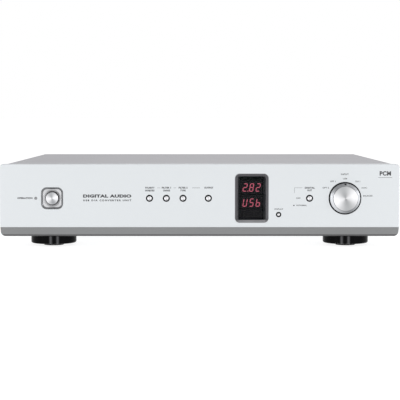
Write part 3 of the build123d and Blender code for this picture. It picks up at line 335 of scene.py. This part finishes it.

# the knob's sloping edge is polished, and its painted fan highlight has more contrast than that of the face; a
# darker lip parts them
FACE, FACE_SHADED = (0.92, 0.92, 0.935), (0.47, 0.48, 0.49)
SLOPE, SLOPE_SHADED, LIP = (0.90, 0.90, 0.92), (0.26, 0.265, 0.275), (0.2, 0.2, 0.21)
SLOPE_DEPTH, LIP_DEPTH, LIP_REACH, LIP_SHARE = 0.9 * MM, 0.8 * MM, 0.7 * MM, 0.9
knob_metal = spun("spun_knob", "input_knob", FACE, FACE_SHADED)
knob_metal.colour = SLOPE
edge_tone = knob_metal.fan(centre("input_knob"), SLOPE_SHADED, 0.8)
knob_depth = knob_metal.coordinate("Y")
knob_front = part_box("input_knob")[0].y
on_slope = knob_metal.beyond(knob_depth, knob_front + SLOPE_DEPTH)
knob_tone = knob_metal.mix(on_slope, knob_metal.tone, edge_tone)
lip = knob_metal.math("MULTIPLY", knob_metal.near(knob_depth, knob_front + LIP_DEPTH, LIP_REACH), LIP_SHARE)
knob_metal.join(knob_metal.mix(lip, knob_tone, LIP), knob_metal.shader.inputs["Base Color"])
knob_metal.on("input_knob")

KEYS = (
    "phase_button",
    "filter_button_a",
    "filter_button_b",
    "output_button",
    "digital_out_button",
    "display_button",
)
# each key cap gets a painted fan highlight: the cap colour to both sides, painted shade above and below
for name in KEYS:
    cap = spun(f"spun_{name}", name, (0.88, 0.88, 0.90), (0.36, 0.365, 0.375), 0.25, 0.3)
    cap.grain(0.2, 0.0008).on(name)

# the escutcheon's dish is turned too and carries a painted fan highlight, inside a rim painted darker as shade
# of the recess and round a hole painted dark as shade
DISH, DISH_SHADED, RIM_SHADE = (0.70, 0.705, 0.72), (0.58, 0.585, 0.60), (0.26, 0.265, 0.275)
HOLE_SHADE = (0.02, 0.02, 0.021)
DISH_DEPTH, HOLE_DEPTH = 1.1 * MM, 1.95 * MM
escutcheon = spun("escutcheon_metal", "power_escutcheon", DISH, DISH_SHADED, 0.36)
escutcheon_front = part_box("power_escutcheon")[0].y
in_dish = escutcheon.beyond(escutcheon.coordinate("Y"), escutcheon_front + DISH_DEPTH)
in_hole = escutcheon.beyond(escutcheon.coordinate("Y"), escutcheon_front + HOLE_DEPTH)
dish_tone = escutcheon.mix(in_dish, RIM_SHADE, escutcheon.tone)
escutcheon.join(escutcheon.mix(in_hole, dish_tone, HOLE_SHADE), escutcheon.shader.inputs["Base Color"])
escutcheon.grain(0.3, 0.001).on("power_escutcheon")

black = Finish("black_plastic", (0.014, 0.014, 0.015), 0.0, 0.45, 0.3)
black.vary_roughness(0.38, 0.55, 2).grain(0.25, 0.006)
black.on("power_switch", "input_selector", "tact_switches", "ac_inlet")
black.on("xlr_inserts", "optical_sockets", "xlr_latch")

ring_black = Finish("ring_black", (0.004, 0.004, 0.0045), 0.0, 0.6, 0.05)
ring_black.vary_roughness(0.5, 0.7, 2).grain(0.25, 0.004).on("button_bushes", "knob_collar")

shutter = Finish("shutter_plastic", (0.03, 0.03, 0.033), 0.0, 0.35, 0.4)
shutter.grain(0.3, 0.004).on("optical_shutter_1", "optical_shutter_2", "optical_shutter_3")

lamp = Finish("lamp_lens", (0.30, 0.30, 0.31), 0.0, 0.35, 0.3)
lamp.vary_colour((0.25, 0.25, 0.26), 1.0).on("operation_lamp")

# the display frame's sill faces up and is painted lighter than the rest, a painted highlight
SILL_HIGHLIGHT, SILL_H = (0.27, 0.27, 0.28), 3.0 * MM
bezel = Finish("display_frame_metal", (0.15, 0.15, 0.16), 1.0, 0.4)
above_sill = bezel.beyond(bezel.coordinate("Z"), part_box("display_frame")[0].z + SILL_H)
bezel.join(bezel.mix(above_sill, SILL_HIGHLIGHT, bezel.colour), bezel.shader.inputs["Base Color"])
bezel.vary_roughness(0.34, 0.46, 8).grain(0.3, 0.0015).on("display_frame")

lens = Finish("smoked_lens", (0.004, 0.004, 0.006), 0.0, 0.06, 0.06, Alpha=0.5)
lens.vary_roughness(0.04, 0.09, 10).on("display_lens")

glowing_module = Finish("display_module", (0.03, 0.032, 0.03), 0.0, 0.45, 0.1)
glowing_module.grain(0.4, 0.004).vary_colour((0.035, 0.035, 0.034), 4).on("digit_modules")
# the module glows faintly: painted light standing in for the light that reaches it through the lens
glowing_module.set("Emission Color", (0.55, 0.55, 0.55, 1.0))
glowing_module.set("Emission Strength", 0.045)

# two paler streaks, painted reflections of two lamps, run down the front of each foot: nearly straight ahead,
# and a little towards the middle;
# each place and reach is a ratio of two parts of the wall's normal, the one across over the one to the back
AHEAD, AHEAD_REACH, INWARD, INWARD_REACH = -0.038, 0.095, 0.274, 0.10
STREAK_REFLECTION = (0.095, 0.095, 0.10)
FRONTWARD = -0.5  # a wall faces the front where its normal's Y is below this
foot = Finish("foot_plastic", (0.0035, 0.0035, 0.004), 0.0, 0.2, 0.03)
facing = foot.node("ShaderNodeSeparateXYZ")
foot.join(foot.node("ShaderNodeNewGeometry").outputs["Normal"], facing.inputs[0])
turned_by = foot.math("DIVIDE", facing.outputs["X"], facing.outputs["Y"])
inward = foot.math("MULTIPLY", turned_by, foot.math("SIGN", foot.coordinate("X"), 0.0))
streaks = foot.math("ADD", foot.near(inward, AHEAD, AHEAD_REACH), foot.near(inward, INWARD, INWARD_REACH))
streaks = foot.math("MULTIPLY", streaks, foot.math("LESS_THAN", facing.outputs["Y"], FRONTWARD))
foot.join(foot.mix(streaks, foot.colour, STREAK_REFLECTION), foot.shader.inputs["Base Color"])
foot.vary_roughness(0.16, 0.26, 5).grain(0.6, 0.004).on("feet")

rubber = Finish("pad_rubber", (0.006, 0.006, 0.006), 0.0, 0.8, 0.08)
rubber.grain(0.5, 0.03, detail=4).on("foot_pads")

black_screw = Finish("black_screws", (0.02, 0.02, 0.022), 0.6, 0.35, 0.5)
black_screw.vary_roughness(0.28, 0.45, 1.5).grain(0.3, 0.004).on("case_screws")

plated = Finish("bright_steel", (0.62, 0.62, 0.63), 1.0, 0.22)
plated.vary_roughness(0.16, 0.32, 2).vary_colour((0.55, 0.55, 0.57), 3)
plated.on("selector_shaft", "panel_nuts", "chassis_screws", "foot_screws")

nickel = Finish("contact_metal", (0.66, 0.64, 0.60), 1.0, 0.2)
nickel.vary_roughness(0.14, 0.3, 3).vary_colour((0.60, 0.58, 0.54), 5)
nickel.on("ac_inlet_pins", "usb_socket", "rca_shells", "xlr_shells")

gold = Finish("gold_contact", (0.83, 0.60, 0.24), 1.0, 0.22)
gold.vary_roughness(0.16, 0.3, 1.5).on("rca_contacts", "xlr_pins")

# ring colours of the phono sockets: orange for the coaxial ones, white for left and red for right
RING_RED, RING_WHITE, RING_ORANGE = (0.55, 0.02, 0.02), (0.78, 0.78, 0.74), (0.75, 0.20, 0.02)
insulator = Finish("socket_insulator", RING_ORANGE, 0.0, 0.4, 0.5)
across = insulator.coordinate("X")
left_x = mount_at["line_out_left"].x
from_left = insulator.beyond(across, (mount_at["coaxial_1"].x + left_x) / 2)
from_right = insulator.beyond(across, (left_x + mount_at["line_out_right"].x) / 2)
ring_colour = insulator.mix(from_left, RING_ORANGE, RING_WHITE)
ring_colour = insulator.mix(from_right, ring_colour, RING_RED)
insulator.join(ring_colour, insulator.shader.inputs["Base Color"])
insulator.vary_roughness(0.34, 0.5, 2).on("rca_insulators")

# ---- finishes of the inside -----------------------------------------------------------------------------
board = Finish("circuit_board", (0.012, 0.085, 0.035), 0.0, 0.35, 0.5)
board.stripes("DIAGONAL", 2.4, 0.01, (0.02, 0.14, 0.06)).vary_roughness(0.28, 0.45, 4)
board.on("control_board", "power_board", "dac_board", "digital_board")

chip = Finish("chip_plastic", (0.02, 0.02, 0.021), 0.0, 0.55, 0.4)
chip.grain(0.2, 0.004).vary_colour((0.028, 0.028, 0.03), 2).on("board_chips")

brass = Finish("brass_posts", (0.72, 0.52, 0.22), 1.0, 0.3)
brass.vary_roughness(0.22, 0.4, 1.5).on("standoffs")

core = Finish("core_steel", (0.10, 0.10, 0.105), 0.7, 0.5)
core.stripes("Z", 0.5, 0.05).vary_colour((0.07, 0.065, 0.06), 8).on("transformer_core")

coil = Finish("coil_wrap", (0.62, 0.42, 0.06), 0.0, 0.35, 0.5)
coil.stripes("Y", 12.0, 0.1).vary_colour((0.55, 0.36, 0.05), 6).on("transformer_coil")

TIN, TIN_T = (0.6, 0.6, 0.62), 0.7 * MM
sleeve = Finish("capacitor_sleeve", (0.008, 0.012, 0.03), 0.0, 0.3, 0.5)
tin_top = sleeve.beyond(sleeve.coordinate("Z"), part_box("filter_capacitors")[1].z - TIN_T)
sleeve.join(sleeve.mix(tin_top, sleeve.colour, TIN), sleeve.shader.inputs["Base Color"])
sleeve.join(tin_top, sleeve.shader.inputs["Metallic"])
sleeve.grain(1.2, 0.01).on("filter_capacitors")

sink = Finish("sink_aluminium", (0.02, 0.02, 0.022), 0.8, 0.5)
sink.grain(0.3, 0.006, (1, 1, 0.1)).vary_roughness(0.42, 0.58, 5).on("heat_sink")

wire = Finish("lead_sleeve", (0.04, 0.04, 0.045), 0.0, 0.45, 0.4)
wire.grain(1.0, 0.02).vary_colour((0.055, 0.05, 0.05), 8).on("mains_leads")

ribbon = Finish("ribbon_plastic", (0.32, 0.33, 0.35), 0.0, 0.5, 0.4)
ribbon.stripes("X", 1.27, 0.25, (0.24, 0.25, 0.27)).on("ribbon_cable")

ink_dark = Finish("dark_ink", (0.06, 0.06, 0.065), 0.0, 0.55, 0.3)
ink_dark.vary_colour((0.08, 0.08, 0.085), 1.5)
ink_light = Finish("light_ink", (0.72, 0.72, 0.70), 0.0, 0.55, 0.3)
ink_light.vary_colour((0.62, 0.62, 0.60), 1.5)

lit = Finish("lit_segments", (0.25, 0.01, 0.015), 0.0, 0.4, 0.3)
lit.vary_colour((0.3, 0.015, 0.02), 0.6)
lit.set("Emission Color", (1.0, 0.23, 0.33, 1.0))
lit.set("Emission Strength", 2.1)
unlit = Finish("unlit_segments", (0.05, 0.03, 0.035), 0.0, 0.4, 0.3)
unlit.vary_colour((0.06, 0.04, 0.045), 0.6)


# ---- pieces ---------------------------------------------------------------------------------------------
def finished(name, mesh, finish, body):
    """Links a new piece with flat faces, gives it its finish and makes it ride on a CAD body."""
    mesh.materials.clear()
    mesh.materials.append(finish.material)
    for face in mesh.polygons:
        face.use_smooth = False
        face.material_index = 0
    piece = bpy.data.objects.new(name, mesh)
    bpy.context.scene.collection.objects.link(piece)
    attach(piece, body)
    return piece


def prism(build, outline, y_front, y_back):
    """Adds a plate with straight sides, from (x, z) points that run anticlockwise as seen from the front."""
    front = [build.verts.new((x, y_front, z)) for x, z in outline]
    back = [build.verts.new((x, y_back, z)) for x, z in outline]
    build.faces.new(front)
    build.faces.new(reversed(back))
    count = len(outline)
    for i in range(count):
        j = (i + 1) % count
        build.faces.new((front[j], front[i], back[i], back[j]))


def mesh_of(build, name):
    bmesh.ops.recalc_face_normals(build, faces=build.faces)
    mesh = bpy.data.meshes.new(name)
    build.to_mesh(mesh)
    build.free()
    return mesh


CAP_SHARE = 0.69  # height of a capital over the font's size
INK_T = 0.02 * MM
PRINT_Y = FACE_Y - INK_T * 1.5  # front of the printed lines and the dot
FRONT_TURN = Matrix.Rotation(math.pi / 2, 4, "X")
REAR_TURN = Matrix.Rotation(math.pi, 4, "Z") @ FRONT_TURN


def words(build, text, x, z, cap_mm, width_mm=None, bold_mm=0.06, rear=False, spread=1.08):
    """Adds printed words centred on (x, z) to a mesh. cap_mm is the height of a capital."""
    curve = bpy.data.curves.new("words", "FONT")
    curve.body = text
    curve.size = cap_mm * MM / CAP_SHARE
    curve.extrude = INK_T / 2
    curve.offset = bold_mm * MM
    curve.align_x, curve.align_y = "CENTER", "CENTER"
    curve.space_character = spread
    curve.resolution_u = 3
    holder = bpy.data.objects.new("words", curve)
    mesh = bpy.data.meshes.new_from_object(holder)
    across = [v.co.x for v in mesh.vertices]
    wide = width_mm * MM / (max(across) - min(across)) if width_mm else 1.0
    middle = Matrix.Translation((-(max(across) + min(across)) / 2, 0, 0))
    turn = REAR_TURN if rear else FRONT_TURN
    y = BACK_Y + INK_T if rear else FACE_Y - INK_T
    mesh.transform(Matrix.Translation((x, y, z)) @ turn @ Matrix.Scale(wide, 4, (1, 0, 0)) @ middle)
    build.from_mesh(mesh)
    bpy.data.meshes.remove(mesh)
    bpy.data.objects.remove(holder)
    bpy.data.curves.remove(curve)


def rule(build, x0, z0, x1, z1, thick_mm):
    """Adds a line printed on the front, level or upright."""
    half = thick_mm * MM / 2
    low_x, high_x = min(x0, x1) - half, max(x0, x1) + half
    low_z, high_z = min(z0, z1) - half, max(z0, z1) + half
    outline = [(low_x, low_z), (high_x, low_z), (high_x, high_z), (low_x, high_z)]
    prism(build, outline, PRINT_Y, PRINT_Y + INK_T)


def disc(build, x, z, radius, y_front, y_back, sides=32):
    turn = [math.tau * i / sides for i in range(sides)]
    prism(build, [(x + radius * math.cos(a), z + radius * math.sin(a)) for a in turn], y_front, y_back)


# ---- front legends --------------------------------------------------------------------------------------
front_print = bmesh.new()
LABEL = 1.7
# text, middle x and z, height of a capital, width, boldness; all in millimetres
FRONT_WORDS = (
    ("OPERATION", -192.3, 54.5, 1.6, 16.7, 0.14),
    ("DIGITAL AUDIO", -101.7, 56.7, 3.0, 53.2, 0.27),
    ("POLARITY", -54.7, 65.9, LABEL, 10.3, 0.13),
    ("INVERTED", -54.7, 62.8, LABEL, 10.3, 0.13),
    ("FILTER 1", -36.6, 65.9, LABEL, 10.0, 0.13),
    ("CHANGE", -36.5, 62.8, LABEL, 7.8, 0.13),
    ("FILTER 2", -18.2, 65.9, LABEL, 9.8, 0.13),
    ("TYPE", -18.4, 62.8, LABEL, 6.0, 0.13),
    ("OUTPUT", 10.0, 65.9, LABEL, 10.0, 0.13),
    ("DIGITAL", 121.2, 65.8, LABEL, 11.0, 0.13),
    ("OUT", 121.0, 63.0, LABEL, 5.3, 0.13),
    ("OFF", 108.6, 54.4, 1.4, 4.8, 0.06),
    ("NORMAL", 112.3, 46.5, 1.4, 11.7, 0.05),
    ("DISPLAY", 87.2, 42.4, 1.6, 9.5, 0.05),
    ("INPUT", 159.7, 80.7, LABEL, 8.5, 0.07),
    ("OPT 2", 138.7, 65.9, 1.5, 6.9, 0.07),
    ("OPT 1", 146.6, 72.9, 1.5, 5.9, 0.07),
    ("USB", 159.9, 75.9, 1.5, 4.4, 0.05),
    ("COAX 1", 173.9, 72.9, 1.5, 5.6, 0.05),
    ("COAX 2", 181.2, 65.8, 1.5, 6.2, 0.05),
    ("BALANCED", 185.2, 57.0, 1.5, 10.1, 0.06),
    ("PCM", 204.2, 81.5, 4.3, 12.5, 0.3),
)
for text, x_mm, z_mm, cap_mm, width_mm, bold_mm in FRONT_WORDS:
    words(front_print, text, x_mm * MM, z_mm * MM, cap_mm, width_mm, bold_mm)
words(front_print, "USB D/A CONVERTER UNIT", -101.7 * MM, 52.0 * MM, 1.7, 53.0, 0.14, spread=1.5)
# ends of the printed lines, then their thickness
FRONT_RULES = (
    (-46.6, 65.9, -43.7, 65.9, 0.3),
    (-28.6, 65.9, -25.9, 65.9, 0.3),
    (-7.9, 65.9, 0.2, 65.9, 0.35),
    (104.3, 66.0, 112.8, 66.0, 0.25),
    (104.3, 66.0, 104.3, 60.2, 0.25),
    (196.7, 77.2, 211.5, 77.2, 0.35),
)
for x0, z0, x1, z1, thick_mm in FRONT_RULES:
    rule(front_print, x0 * MM, z0 * MM, x1 * MM, z1 * MM, thick_mm)
disc(front_print, 103.8 * MM, 46.5 * MM, 0.75 * MM, PRINT_Y, PRINT_Y + INK_T)
finished("front_legends", mesh_of(front_print, "front_legends"), ink_dark, "case")

# ---- rear legends ---------------------------------------------------------------------------------------
rear_print = bmesh.new()
REAR_LABEL, NUMBER_LABEL = 2.4, 2.0
BALANCED_OUT = ("balanced_out_right", "balanced_out_left")
LINE_OUT = ("line_out_right", "line_out_left")
# text, the sockets it is centred on, how far above them it stands, height of a capital; in millimetres
REAR_WORDS = (
    ("AC IN", ("mains_inlet",), 18.0, REAR_LABEL),
    ("R", BALANCED_OUT[:1], 18.5, REAR_LABEL),
    ("L", BALANCED_OUT[1:], 18.5, REAR_LABEL),
    ("BALANCED OUT", BALANCED_OUT, -19.5, REAR_LABEL),
    ("R", LINE_OUT[:1], 9.5, REAR_LABEL),
    ("L", LINE_OUT[1:], 9.5, REAR_LABEL),
    ("LINE OUT", LINE_OUT, -10.5, REAR_LABEL),
    ("OUT", ("coaxial_1",), -10.0, NUMBER_LABEL),
    ("OUT", ("optical_1",), 9.5, NUMBER_LABEL),
    ("IN 1", ("coaxial_2",), -10.0, NUMBER_LABEL),
    ("IN 1", ("optical_2",), 9.5, NUMBER_LABEL),
    ("IN 2", ("coaxial_3",), -10.0, NUMBER_LABEL),
    ("IN 2", ("optical_3",), 9.5, NUMBER_LABEL),
    ("COAXIAL", ("coaxial_2",), -14.5, REAR_LABEL),
    ("OPTICAL", ("optical_2",), 13.5, REAR_LABEL),
    ("USB", ("usb_in",), -10.0, REAR_LABEL),
    ("BALANCED IN", ("balanced_in",), -19.5, REAR_LABEL),
)
for text, sockets, above_mm, cap_mm in REAR_WORDS:
    middle = sum((mount_at[name] for name in sockets), Vector()) / len(sockets)
    words(rear_print, text, middle.x, middle.z + above_mm * MM, cap_mm, rear=True)
finished("rear_legends", mesh_of(rear_print, "rear_legends"), ink_light, "case")

# ---- lit numerals ---------------------------------------------------------------------------------------
DIGIT_H, DIGIT_W, STROKE, PITCH = 9.0 * MM, 3.7 * MM, 0.85 * MM, 7.2 * MM
TIP_GAP = 0.12 * MM  # left free at each end of a segment
POINT_R, POINT_RIGHT, POINT_UP = 0.6 * MM, 0.25 * MM, 0.5 * MM
SLANT = math.tan(math.radians(10))
SHAPES = {"2": "abged", "8": "abcdefg", "U": "bcdef", "S": "acdfg", "b": "cdefg"}
UPPER_Z, LOWER_Z = 66.0 * MM, 49.3 * MM
MODULE_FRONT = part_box("digit_modules")[0].y
SEGMENT_FRONT, SEGMENT_BACK = MODULE_FRONT - 0.08 * MM, MODULE_FRONT - 0.01 * MM
display_x = centre("display_frame").x


def bar(length, upright):
    """The outline of one segment about its own middle, pointed at both ends."""
    half, side = length / 2 - TIP_GAP, STROKE / 2
    bend = half - side
    points = [(-half, 0), (-bend, -side), (bend, -side), (half, 0), (bend, side), (-bend, side)]
    return [(-z, x) for x, z in points] if upright else points


def segment(build, x, z, letter):
    """Adds one of a numeral's seven segments, slanted about the numeral's middle."""
    half_w, half_h = DIGIT_W / 2, DIGIT_H / 2 - STROKE / 2
    middles = {
        "a": (0, half_h), "b": (half_w, half_h / 2), "c": (half_w, -half_h / 2), "d": (0, -half_h),
        "e": (-half_w, -half_h / 2), "f": (-half_w, half_h / 2), "g": (0, 0),
    }
    upright = letter in "bcef"
    mid_x, mid_z = middles[letter]
    outline = [(px + mid_x, pz + mid_z) for px, pz in bar(half_h if upright else DIGIT_W, upright)]
    prism(build, [(x + px + pz * SLANT, z + pz) for px, pz in outline], SEGMENT_FRONT, SEGMENT_BACK)


lit_build, unlit_build = bmesh.new(), bmesh.new()
for row_z, numerals, point_after in ((UPPER_Z, "282", 0), (LOWER_Z, "USb", None)):
    for place, numeral in enumerate(numerals):
        digit_x = display_x + (place - 1) * PITCH
        for letter in "abcdefg":
            build = lit_build if letter in SHAPES[numeral] else unlit_build
            segment(build, digit_x, row_z, letter)
        build = lit_build if place == point_after else unlit_build
        point_x = digit_x + PITCH / 2 - SLANT * DIGIT_H / 2 + POINT_RIGHT
        point_z = row_z - DIGIT_H / 2 + POINT_UP
        disc(build, point_x, point_z, POINT_R, SEGMENT_FRONT, SEGMENT_BACK, sides=16)
finished("lit_numerals", mesh_of(lit_build, "lit_numerals"), lit, "case")
finished("unlit_numerals", mesh_of(unlit_build, "unlit_numerals"), unlit, "case")

# ---- knob index -----------------------------------------------------------------------------------------
# a round mark, sunk in the knob's cone at INDEX_R from its axis
INDEX_R, MARK_R, MARK_T, MARK_SINK = 15.2 * MM, 1.17 * MM, 0.5 * MM, 0.3 * MM
EDGE_R, TIP_R, SHOULDER, TIP = 16.5 * MM, 13.1 * MM, 2.6 * MM, 8.0 * MM  # the cone's radii and heights
slope = math.atan2(EDGE_R - TIP_R, TIP - SHOULDER)
index_y = FACE_Y - SHOULDER - (TIP - SHOULDER) * (EDGE_R - INDEX_R) / (EDGE_R - TIP_R)
index = bmesh.new()
bmesh.ops.create_cone(index, cap_ends=True, segments=24, radius1=MARK_R, radius2=MARK_R, depth=MARK_T)
place_index = Matrix.Translation((centre("input_knob").x, index_y, ROW_Z + INDEX_R))
lean_index = Matrix.Rotation(math.pi / 2 - slope, 4, "X")
place_index = place_index @ lean_index @ Matrix.Translation((0, 0, -MARK_SINK))
bmesh.ops.transform(index, matrix=place_index, verts=index.verts)
finished("knob_index", mesh_of(index, "knob_index"), ring_black, "selector_knob")

# ---- floor ----------------------------------------------------------------------------------------------
FLOOR_HALF = 40.0
floor_build = bmesh.new()
bmesh.ops.create_grid(floor_build, x_segments=1, y_segments=1, size=FLOOR_HALF)
floor_mesh = bpy.data.meshes.new("floor")
floor_build.to_mesh(floor_mesh)
floor_build.free()
floor = bpy.data.objects.new("floor", floor_mesh)
bpy.context.scene.collection.objects.link(floor)
pale = Finish("pale_floor", (0.3, 0.3, 0.3), 0.0, 0.9, 0.1)
pale.set("Emission Color", (1.0, 1.0, 1.0, 1.0))
pale.set("Emission Strength", 0.88)
floor_mesh.materials.append(pale.material)
